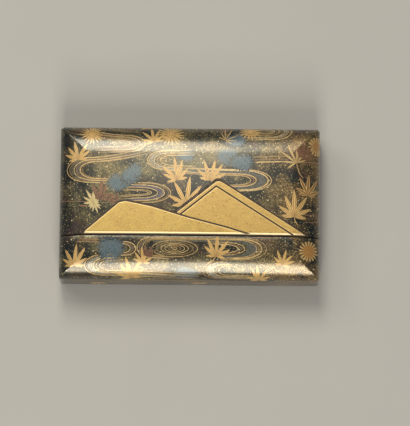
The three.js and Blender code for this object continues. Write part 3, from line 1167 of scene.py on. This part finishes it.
flow((-19.6, -18.1), -1, 4, 5.0, (3, 0.2), (5, -0.3), 0.4,
     ((0, PLAIN, CREAM), (0.9, FINE, ROSE), (2.0, PLAIN, GOLD_LINE), (3.2, FINE, BROWN)),
     ((1.0, 1.9, umber_bands),))
flow((-38.3, -24.4), 1, 6.5, 7.8, (6, 0.4), (34, -1.4), 0.36,
     ((0, PLAIN, CREAM), (0.7, FINE, BROWN), (3.2, BOLD, CREAM), (4.2, FINE, GOLD_LINE),
      (5.6, PLAIN, CREAM), (6.6, FINE, BROWN)), ((1.0, 3.0, silver_bands),))
flow((5.1, -26.0), 1, 6, 7, (3, 0), (18, -0.8), 0.3,
     ((0, PLAIN, BROWN), (1.4, FINE, GOLD_LINE), (3.8, PLAIN, CREAM), (4.8, FINE, BROWN),
      (5.8, PLAIN, GOLD_LINE)), ((1.6, 3.6, silver_bands),))
ripple((-5.3, -18.0), (0.9, 2.2, 3.6, 5.0, 6.6, 8.4), 0.36)
ripple((-9.6, 15.0), (1.0, 2.2), 0.45)
ripple((8.2, 20.4), (0.9, 2.0, 3.2), 0.5, (BROWN, ROSE))
print("the hairpins and ripples are drawn")

# %% [markdown]
# Between the hairpins run single lines, nearly straight, some of them rose. They cross
# behind leaves and run out over the shoulders. A short list of them is plainer than a
# rule, since they follow no order.

# %% Single lines of water
# Each is (start, end, bow, width, tone), in millimetres of the unrolled plan.
STREAKS = (
    ((23.0, 16.3), (37.5, 16.8), 0.1, BOLD, BROWN),
    ((23.9, 14.4), (36.4, 14.9), 0.0, BOLD, CREAM),
    ((23.4, 15.3), (37.0, 15.8), 0.0, PLAIN, ROSE),
    ((41.1, 16.1), (50.5, 16.8), 0.0, PLAIN, ROSE),
    ((41.1, 14.6), (50.5, 15.0), 0.0, BOLD, ROSE),
    ((-50.0, -0.2), (-37.3, -0.9), 0.0, FINE, ROSE),
    ((-40.8, -2.3), (-37.6, -2.4), 0.0, BOLD, ROSE),
    ((-32.9, -1.1), (-26.8, -1.1), 0.0, FINE, ROSE),
    ((-40.6, -14.7), (-31.1, -14.9), 0.0, BOLD, ROSE),
    ((-41.6, -15.6), (-31.5, -15.8), 0.0, BOLD, ROSE),
    ((-47.0, 30.6), (-17.0, 25.8), -0.6, PLAIN, BROWN),
    ((-45.0, 31.6), (-12.0, 27.4), -0.5, PLAIN, ROSE),
    ((-44.0, 32.6), (2.0, 28.8), -0.4, FINE, GOLD_LINE),
    ((-30.0, 31.6), (10.0, 30.2), -0.2, FINE, BROWN),
    ((-24.0, -30.2), (4.0, -29.8), 0.2, PLAIN, BROWN),
    ((-26.0, -31.4), (10.0, -31.0), 0.2, FINE, GOLD_LINE),
    ((34.0, -5.0), (48.0, -4.8), 0.0, PLAIN, ROSE),
    ((32.0, -6.6), (36.8, -6.8), 0.0, FINE, ROSE),
    ((42.0, -7.6), (49.5, -7.2), 0.0, FINE, ROSE),
)
for start, end, bow, width, tone in STREAKS:
    streak(start, end, bow, width, tone)
print(len(STREAKS), "single lines")

# %% [markdown]
# The walls carry the same water, plainer: long lines along each of them, and a few
# leaves. Here the unrolled plan goes on past the shoulder, down the wall. They could be
# left bare, but on such boxes the decoration doesn't stop at an edge.

# %% The walls
FRONT_WALL = half_depth / MM - SHOULDER_WIDTH / MM + shoulder_arc / MM
SIDE_WALL = half_length / MM - SHOULDER_WIDTH / MM + shoulder_arc / MM
WALL_TONE = 0.6
SIDE_REACH = 26
# Each line is (how far down the wall, bow, reach to each side), each leaf (heart, turn).
WALL_LINES = ((0.9, 0.3, 46), (2.0, -0.3, 47), (3.4, 0.4, 46), (6.2, -0.3, 47), (7.4, 0.2, 45))
WALL_LEAVES = (
    ((-28, FRONT_WALL + 6), 8), ((14, FRONT_WALL + 7), -12), ((36, FRONT_WALL + 5), 16),
    ((-34, -FRONT_WALL - 7), 170), ((4, -FRONT_WALL - 8), -14),
    ((SIDE_WALL + 5, 8), -80), ((-SIDE_WALL - 5, 2), 84))

for depth, bow, reach in WALL_LINES:
    for side in (-1, 1):
        along = side * (FRONT_WALL + depth)
        streak((-reach, along), (random.uniform(-6, 6), along + bow), bow, PLAIN, WALL_TONE)
        streak((random.uniform(-2, 8), along), (reach, along - bow), -bow, PLAIN, WALL_TONE)
        across = side * (SIDE_WALL + depth)
        streak((across, -SIDE_REACH), (across + bow, SIDE_REACH), bow, PLAIN, WALL_TONE)
for heart, turn in WALL_LEAVES:
    maple(gold_leaves, heart, 5.6, turn, 0.35)
print(len(WALL_LINES), "lines round the walls and", len(WALL_LEAVES), "leaves")

# %% [markdown]
# Loose flakes of gold leaf lie in the ground as small uneven plates. Most of them could
# be part of the pattern, but the largest have an edge that glints. So they are real
# plates here, five-sided. They lie thickest at the right end and in a pool at the left.

# %% Flakes
FLAKE_COUNT = 2600
FLAKE_LIFT = 0.014
FLAKE_RADII = (0.09, 0.11, 0.13, 0.13, 0.17, 0.22)
FLAKE_REACH = 8
FLAKE_POOL = (-28, 12)
FLAKES_FROM = 22

flakes = Drawing("gold_flakes")


def flake_chance(x, y):
    """How likely a flake stays where it fell: thick at the right end and in a pool at the left."""
    pool = math.exp(-((x - FLAKE_POOL[0]) ** 2) / 120 - ((y - FLAKE_POOL[1]) ** 2) / 14)
    right = 1 / (1 + math.exp(-(x - FLAKES_FROM) / 5))
    return 0.16 + 0.5 * pool + 0.6 * right


def add_flake(x, y, radius):
    start = random.uniform(0, 6.28)
    made = bmesh.ops.create_circle(flakes.bm, cap_ends=True, segments=5, radius=radius * MM)
    tone = random.random()
    for i, vert in enumerate(made["verts"]):
        angle = start + i * 2 * math.pi / 5
        reach = radius * random.uniform(0.6, 1.2)
        vert.co = Vector(((x + reach * math.cos(angle)) * MM, (y + reach * math.sin(angle)) * MM,
                          (FLAKE_LIFT + random.uniform(-0.002, 0.006)) * MM))
        vert[flakes.along] = 0.8
        vert[flakes.across] = 0.35
        vert[flakes.tone] = tone


for _ in range(FLAKE_COUNT):
    x = random.uniform(-SIDE_WALL - FLAKE_REACH, SIDE_WALL + FLAKE_REACH)
    y = random.uniform(-FRONT_WALL - FLAKE_REACH, FRONT_WALL + FLAKE_REACH)
    in_corner = abs(x) > SIDE_WALL - 2 and abs(y) > FRONT_WALL - 2
    if not in_corner and random.random() < flake_chance(x, y):
        add_flake(x, y, random.choice(FLAKE_RADII))
flake_gold = drawn_gold_material("flake_gold", "E6D6A6", "A98F58", "F6ECC8", 0.1, metal=0.1)
print(len(flakes.bm.faces), "flakes lie on the box")

# %% [markdown]
# All drawings are now laid on the two halves of the case. They could be cut once they are
# bent and thick, but a flat mesh cuts cleaner. So each is cut flat, at the rim of its
# half. Nothing bridges the seam, and the lid could be pulled off with its share.

# %% Lay the drawings
kinds = (
    (slate_bands, slate, "colour"), (silver_bands, silver, "colour"), (umber_bands, umber, "colour"),
    (violet_bands, violet, "colour"), (blue_flowers, blue, "colour"),
    (red_leaves, red, "colour"), (flakes, flake_gold, "gold"), (water_lines, line_gold, "gold"),
    (skeleton_leaves, skeleton_gold, "gold"), (pale_leaves, pale_gold, "gold"),
    (gold_leaves, leaf_gold, "gold"), (chrysanthemums, leaf_gold, "gold"))
for drawing, material, slot in kinds:
    drawing.laid(material, slot, -UNROLLED_END * MM, base_rim - ARRIS, "_on_base")
    drawing.laid(material, slot, lid_rim + ARRIS, UNROLLED_END * MM, "_on_lid")
    drawing.bm.free()

# %% [markdown]
# The hills are plates that follow the dome. Each stands on a dark bed that shows as a
# line round it. Along the front, at the seam, the bed shows as a wider dark strip, which
# is painted shadow under the hill's front edge. The far hill is a border and a panel with
# the bed between them, which is the groove. The outlines could be typed in one by one,
# but then they would not stay parallel. So only the two hills are given, and the rest is
# drawn in or grown from them by these helpers.

# %% Outlines drawn in or grown
BLUNT_STEPS = 4


def move_line(one, other, distance):
    """The line through two points, moved to its left, as a point and a direction."""
    run = Vector((other[0] - one[0], other[1] - one[1])).normalized()
    return Vector(one) + Vector((-run.y, run.x)) * distance, run


def crossing(line, other):
    gap = other[0] - line[0]
    share = gap.cross(other[1]) / line[1].cross(other[1])
    return tuple(line[0] + line[1] * share)


def drawn_in(points, distances):
    """A closed outline drawn in by its own distance on each side. A negative one grows it."""
    sides = [move_line(points[i], points[(i + 1) % len(points)], distances[i])
             for i in range(len(points))]
    return [crossing(sides[i - 1], sides[i]) for i in range(len(points))]


def blunted(points, corner, reach):
    """The outline with one corner replaced by a small curve."""
    at = Vector(points[corner])
    before = at + (Vector(points[corner - 1]) - at).normalized() * reach
    after = at + (Vector(points[(corner + 1) % len(points)]) - at).normalized() * reach
    shares = [i / BLUNT_STEPS for i in range(BLUNT_STEPS + 1)]
    curve = [tuple(before.lerp(at, t).lerp(at.lerp(after, t), t)) for t in shares]
    return points[:corner] + curve + points[corner + 1:]

# %% [markdown]
# The near hill is given by nine corners, as its slope is a little hollow and its top is
# blunt. The far hill is a plain triangle. Its border and panel could be cut with a knife,
# but here the groove's width is one value. Distances are millimetres above the seam.

# %% Hill outlines
BED_LINE = 0.6
# Front strip: the bed's dark band along the seam below each hill, a painted shadow.
FRONT_SHADOW_STRIP = 0.38
FAR_GROOVE = 0.55
FAR_RIGHT_BORDER = 2.35
FAR_LEFT_BORDER = 1.75
FAR_SHADE = 0.7
far_left, far_peak, far_right = (-16.0, 0.0), (10.1, 21.1), (43.6, 0.0)
near_outline = [(-38.8, FRONT_SHADOW_STRIP), (21.6, FRONT_SHADOW_STRIP), (13, 2.9), (-0.8, 6.4), (-14, 10.4),
                (-19.6, 11.6), (-23.6, 12.35), (-26.0, 11.8), (-38.2, 1.3)]
far_outline = [far_left, far_right, far_peak]
near_bed_and_shadow = drawn_in(near_outline, [-FRONT_SHADOW_STRIP] + [-BED_LINE] * (len(near_outline) - 1))
far_bed_and_shadow = blunted(drawn_in(far_outline, (0, -0.4, -0.35)), 2, 1.2)
far_gold = drawn_in(far_outline, (FRONT_SHADOW_STRIP, 0.2, FAR_SHADE))
border = drawn_in(far_outline, (FRONT_SHADOW_STRIP, FAR_RIGHT_BORDER, FAR_LEFT_BORDER))
panel = drawn_in(far_outline, (FRONT_SHADOW_STRIP, FAR_RIGHT_BORDER + FAR_GROOVE,
                               FAR_LEFT_BORDER + FAR_GROOVE))
far_border = [far_gold[1], *blunted(far_gold, 2, 1.7)[2:], far_gold[0],
              border[0], border[2], border[1]]
shade = drawn_in(far_outline, (FRONT_SHADOW_STRIP, 2.6, 0.15))
shade_edge = drawn_in(far_outline, (FRONT_SHADOW_STRIP, 2.6, FAR_SHADE - 0.12))
far_shade = [shade[0], shade_edge[0], shade_edge[2], shade[2]]
print("near hill has", len(near_outline), "points, the far border", len(far_border))

# %% [markdown]
# One function makes every plate. It could be a boolean of a prism and a thicker case, as
# in the frame, but that leaves no clean rim to round. So a plate is cut out flat, raised,
# bevelled, diced so that it can bend, and laid on the face. Its height scales with the
# distance from the seam, so that its front slants down in a facet that catches the light.
# The points of the rim and of the facet carry a number each, by which the material
# paints a cream highlight on them.

# %% Plates
FRONT_FACET = 0.62
# The band round a plate's top that gets a painted cream highlight is this wide.
HIGHLIGHT_RIM = 0.3
FACET_LINES = (0.5, 0.98, 1.0)
NO_LENGTH = 0.0005 * MM


def dice(bm, axis, places):
    """Cuts the mesh along straight lines across an axis."""
    normal = [0.0, 0.0, 0.0]
    normal[axis] = 1.0
    for place in places:
        centre = [0.0, 0.0, 0.0]
        centre[axis] = place
        bmesh.ops.bisect_plane(bm, geom=bm.verts[:] + bm.edges[:] + bm.faces[:],
                               dist=ON_CUT, plane_co=centre, plane_no=normal)


def plate(name, outline, low, high, front, start, material, slot, round_edge):
    """An outline above the seam as a plate that stands from low to high over the ground."""
    bm = bmesh.new()
    verts = [bm.verts.new((x * MM, lid_rim + y * MM, 0)) for x, y in outline]
    flat = bm.faces.new(verts)
    bm.normal_update()
    if flat.normal.z < 0:
        bmesh.ops.reverse_faces(bm, faces=[flat])
    pushed = bmesh.ops.extrude_face_region(bm, geom=[flat])
    raised = [item for item in pushed["geom"] if isinstance(item, bmesh.types.BMVert)]
    bmesh.ops.translate(bm, verts=raised, vec=(0, 0, (high - low) * MM))
    bmesh.ops.recalc_face_normals(bm, faces=bm.faces)
    upper = [edge for edge in bm.edges if all(vert in raised for vert in edge.verts)]
    bmesh.ops.bevel(bm, geom=upper, offset=round_edge * MM, segments=3, profile=0.5,
                    affect="EDGES", material=-1, offset_type="OFFSET", clamp_overlap=True)
    # The rim and the front facet are marked for a painted cream highlight.
    rim = bm.verts.layers.float.new("across")
    facet = bm.verts.layers.float.new("along")
    for vert in bm.verts:
        vert[rim] = 1.0
    top = max(bm.faces, key=lambda face: face.calc_area() * (face.normal.z > 0.9))
    bmesh.ops.inset_individual(bm, faces=[top], thickness=HIGHLIGHT_RIM * MM, use_even_offset=True)
    for vert in top.verts:
        vert[rim] = 0.0
    for axis, spread in enumerate((half_length, half_depth)):
        count = int(2 * spread / FACE_PITCH)
        dice(bm, axis, [-spread + 2 * spread * (i + 0.37) / count for i in range(count + 1)])
    dice(bm, 1, [lid_rim + (start + FRONT_FACET * share) * MM for share in FACET_LINES])
    bmesh.ops.dissolve_degenerate(bm, edges=bm.edges, dist=NO_LENGTH)
    for vert in bm.verts:
        share = (vert.co.y - lid_rim) / MM - start
        share = min(1.0, max(0.0, share / FRONT_FACET))
        vert[facet] = float(share < 0.99)
        reach = front + (high - front) * share
        lift = low * MM + vert.co.z * (reach - low) / (high - low)
        vert.co.z = surface_height(vert.co.x, vert.co.y) + lift
    finish_piece(bm, name, material, slot)

# %% [markdown]
# The hills' gold is laid thick. The near hill was brushed, so its material adds fine
# slanting hatches that come and go. They could be cut as real grooves, but they are
# shallower than the gold is thick. Each plate's rim and front facet get a painted cream
# highlight. The bed is lacquer of a brown that is nearly black, and its strip along each
# hill's front is painted shadow. A stripe of greyer powder shades the far hill's left slope.

# %% Hill finishes
THIN_GOLD = "B08A48"
HATCH_BROWN = "9A733A"
WORKED_DARK, WORKED_LIGHT = "A87F3C", "F0D590"
# Painted highlights: cream on the plates' rims and front facets, where the edges catch light.
RIM_HIGHLIGHT, FACET_HIGHLIGHT = "E8CE90", "D2C096"
HATCHES_PER_MM = 0.55
HATCH_CLOUD = 5 * MM
WORK_SIZE = 0.55 * MM
HILL_BUMP = 0.05 * MM
BED_GRAIN = 0.35 * MM


def hill_material(name, gold_code, hatch):
    material, tree, shader = start_material(name, 0.6, 0.3)
    place = node(tree, "ShaderNodeTexCoord").outputs["Object"]
    made = use_group(tree, gold_tree, Gold=paint(gold_code), Thin=paint(THIN_GOLD), Wear=0.45)
    waves = node(tree, "ShaderNodeTexWave", {
        "Vector": place, "Scale": HATCHES_PER_MM / MM, "Distortion": 5.0, "Detail": 3.0,
        "Detail Scale": 0.8}, wave_type="BANDS", bands_direction="DIAGONAL").outputs["Fac"]
    where = stretch(tree, cloud(tree, place, HATCH_CLOUD, 2.0), 0.4, 0.62)
    lines = sums(tree, "MULTIPLY", stretch(tree, waves, 0.35, 0.8, 0.0, hatch), where)
    colour = blend(tree, lines, made["Colour"], paint(HATCH_BROWN))
    worked = cloud(tree, place, WORK_SIZE, 3.0, 0.6)
    colour = blend(tree, stretch(tree, worked, 0.42, 0.72, 0.0, 0.55), colour, paint(WORKED_DARK))
    colour = blend(tree, stretch(tree, worked, 0.45, 0.25, 0.0, 0.4), colour, paint(WORKED_LIGHT))
    # Painted highlight: cream on the rim and on the front facet of the plate.
    rim = stretch(tree, own(tree, "across"), 0.2, 1.0, 0.0, 0.75)
    colour = blend(tree, rim, colour, paint(RIM_HIGHLIGHT))
    facet = own(tree, "along")
    colour = blend(tree, sums(tree, "MULTIPLY", facet, 0.8), colour, paint(FACET_HIGHLIGHT))
    tree.links.new(colour, shader.inputs["Base Color"])
    tree.links.new(made["Roughness"], shader.inputs["Roughness"])
    shader.inputs["Metallic"].default_value = 0.4
    height = sums(tree, "ADD", made["Height"], sums(tree, "MULTIPLY", worked, 2.0))
    emboss(tree, shader, height, HILL_BUMP, 0.5)
    return material


def plain_lacquer(name, dark_code, light_code):
    material, tree, shader = start_material(name, 0.15, 0.4)
    place = node(tree, "ShaderNodeTexCoord").outputs["Object"]
    grain = cloud(tree, place, BED_GRAIN, 3.0)
    colour = blend(tree, stretch(tree, grain, 0.35, 0.68), paint(dark_code), paint(light_code))
    tree.links.new(colour, shader.inputs["Base Color"])
    shader.inputs["Roughness"].default_value = 0.6
    return material


near_gold = hill_material("near_hill_gold", "C4A754", 0.42)
far_gold_finish = hill_material("far_hill_gold", "BF9F50", 0.16)
# The bed's near-black lacquer is a real outline round the hills; along the front it is painted
# shadow.
bed_and_shadow_lacquer = plain_lacquer("bed_and_shadow_lacquer", "140C08", "46301F")
shade_lacquer = plain_lacquer("shade_lacquer", "4C4144", "A0918A")
print(len(bpy.data.materials), "materials with the hills'")

# %% [markdown]
# The plates are laid from the far one to the near one. The near hill's bed stands higher
# than the far hill's gold, so that its dark line runs on in front of it. A list of plates
# shows their heights side by side, which is where a mistake would show.

# %% Hills
NEAR_RELIEF = 0.8
FAR_RELIEF = 0.55
BED_START = FRONT_SHADOW_STRIP - 0.1
# Each is (name, outline, low, high, front, start, finish, slot, rounded edge).
PLATES = (
    ("far_hill_bed_and_shadow", far_bed_and_shadow, -0.05, 0.25, 0.0, BED_START, bed_and_shadow_lacquer, "lacquer", 0.1),
    ("far_hill_shade", far_shade, 0.1, 0.34, 0.2, FRONT_SHADOW_STRIP, shade_lacquer, "lacquer", 0.08),
    ("far_hill_panel", panel, 0.0, FAR_RELIEF, 0.22, FRONT_SHADOW_STRIP, far_gold_finish, "gold", 0.14),
    ("far_hill_border", far_border, 0.0, FAR_RELIEF, 0.22, FRONT_SHADOW_STRIP, far_gold_finish,
     "gold", 0.14),
    ("near_hill_bed_and_shadow", near_bed_and_shadow, -0.05, 0.6, 0.05, BED_START, bed_and_shadow_lacquer, "lacquer", 0.1),
    ("near_hill", near_outline, 0.0, NEAR_RELIEF, 0.46, FRONT_SHADOW_STRIP, near_gold, "gold", 0.22),
)
for values in PLATES:
    plate(*values)

# %% [markdown]
# The box lies on a plain pale floor that says nothing of its own. A curved backdrop would
# do too, but the camera looks down so steeply that only floor shows. It is large enough
# to fill the picture and to be mirrored in the walls of the box, as a table would be.

# %% Floor
FLOOR_HALF = 3.0
FLOOR_CLOUD = 0.05
FLOOR_DARK, FLOOR_LIGHT = "A9AAAC", "AFB0B2"

floor_mesh = bmesh.new()
bmesh.ops.create_grid(floor_mesh, x_segments=1, y_segments=1, size=FLOOR_HALF)
floor_data = bpy.data.meshes.new("floor")
floor_mesh.to_mesh(floor_data)
floor_mesh.free()
floor = bpy.data.objects.new("floor", floor_data)
bpy.context.scene.collection.objects.link(floor)
floor_paint, floor_tree, floor_shader = start_material("floor_paint", 0.0, 0.3)
mottle = cloud(floor_tree, node(floor_tree, "ShaderNodeTexCoord").outputs["Object"], FLOOR_CLOUD)
floor_tree.links.new(blend(floor_tree, mottle, paint(FLOOR_DARK), paint(FLOOR_LIGHT)),
                     floor_shader.inputs["Base Color"])
floor_shader.inputs["Roughness"].default_value = 0.7
floor_data.materials.append(floor_paint)
print("the floor is", 2 * FLOOR_HALF, "m wide")

# %% [markdown]
# A quiet grey world fills the shadows, and two large softboxes, one behind the box and
# one before it, make the two long highlights on the rear and front shoulders. A lamp
# straight above would be simpler, but the face would mirror it and the picture would be
# gone. A third softbox lights the left end of the rear shoulder, and a small faint one
# softens the lower edge of the rear highlight.

# %% Lights
WARM = (1.0, 0.91, 0.73)
LIGHT_DISTANCE = 1.0
ROOM_GREY = "848588"
ROOM_STRENGTH = 0.78


def softbox(name, azimuth, elevation, width, height, power):
    """A soft rectangular light that looks at the box. Azimuth 0 is behind it, along +Y."""
    light = bpy.data.lights.new(name, "AREA")
    light.color = WARM
    light.shape = "RECTANGLE"
    light.size = width
    light.size_y = height
    light.energy = power
    lamp = bpy.data.objects.new(name, light)
    turn, rise = math.radians(azimuth), math.radians(elevation)
    lamp.location = Vector((math.sin(turn) * math.cos(rise), math.cos(turn) * math.cos(rise),
                            math.sin(rise))) * LIGHT_DISTANCE
    lamp.rotation_euler = (-lamp.location).to_track_quat("-Z", "Y").to_euler()
    bpy.context.scene.collection.objects.link(lamp)


softbox("rear_softbox", -10.6, 56, 0.275, 0.47, 5.0)
softbox("rear_scrim", 0, 73.5, 0.08, 0.175, 0.26)
softbox("front_softbox", 179.6, 43.5, 0.29, 0.59, 6.2)
softbox("corner_softbox", -50, 45, 0.4, 0.4, 1.8)
world = bpy.data.worlds.new("quiet_room")
world.use_nodes = True
world.node_tree.nodes["Background"].inputs["Color"].default_value = paint(ROOM_GREY)
world.node_tree.nodes["Background"].inputs["Strength"].default_value = ROOM_STRENGTH
bpy.context.scene.world = world
bpy.context.scene.view_settings.view_transform = "Standard"
print(len(bpy.data.lights), "lights")

# %% [markdown]
# The camera looks steeply down through a long lens, so the box hardly narrows towards
# its far side. The box sits left of the middle of the picture and a little high. That
# could be had with lens shift, but to aim a little past the box is plainer.

# %% Camera
PICTURE = (410, 426)
BOX_CENTRE = (189.7, 206.0)
PICTURE_MM = 0.37
ELEVATION = math.radians(80.5)
ROLL = math.radians(0.55)
DISTANCE = 1.34
CLIP_END = 20

camera_data = bpy.data.cameras.new("camera")
camera = bpy.data.objects.new("camera", camera_data)
bpy.context.scene.collection.objects.link(camera)
bpy.context.scene.camera = camera
back = Vector((0, -math.cos(ELEVATION), math.sin(ELEVATION)))
right = Vector((1, 0, 0))
up = back.cross(right)
turned_right = right * math.cos(ROLL) + up * math.sin(ROLL)
turned_up = up * math.cos(ROLL) - right * math.sin(ROLL)
aim = (Vector((0, 0, FACE_HEIGHT / 2))
       + turned_right * (PICTURE[0] / 2 - BOX_CENTRE[0]) * PICTURE_MM * MM
       - turned_up * (PICTURE[1] / 2 - BOX_CENTRE[1]) * PICTURE_MM * MM)
camera.location = aim + back * DISTANCE
camera.rotation_mode = "QUATERNION"
straight = (-back).to_track_quat("-Z", "Y")
camera.rotation_quaternion = Quaternion(back, ROLL) @ straight
long_side = max(PICTURE) * PICTURE_MM * MM
camera_data.lens = camera_data.sensor_width * DISTANCE / long_side
camera_data.clip_end = CLIP_END
print("lens", round(camera_data.lens), "mm")
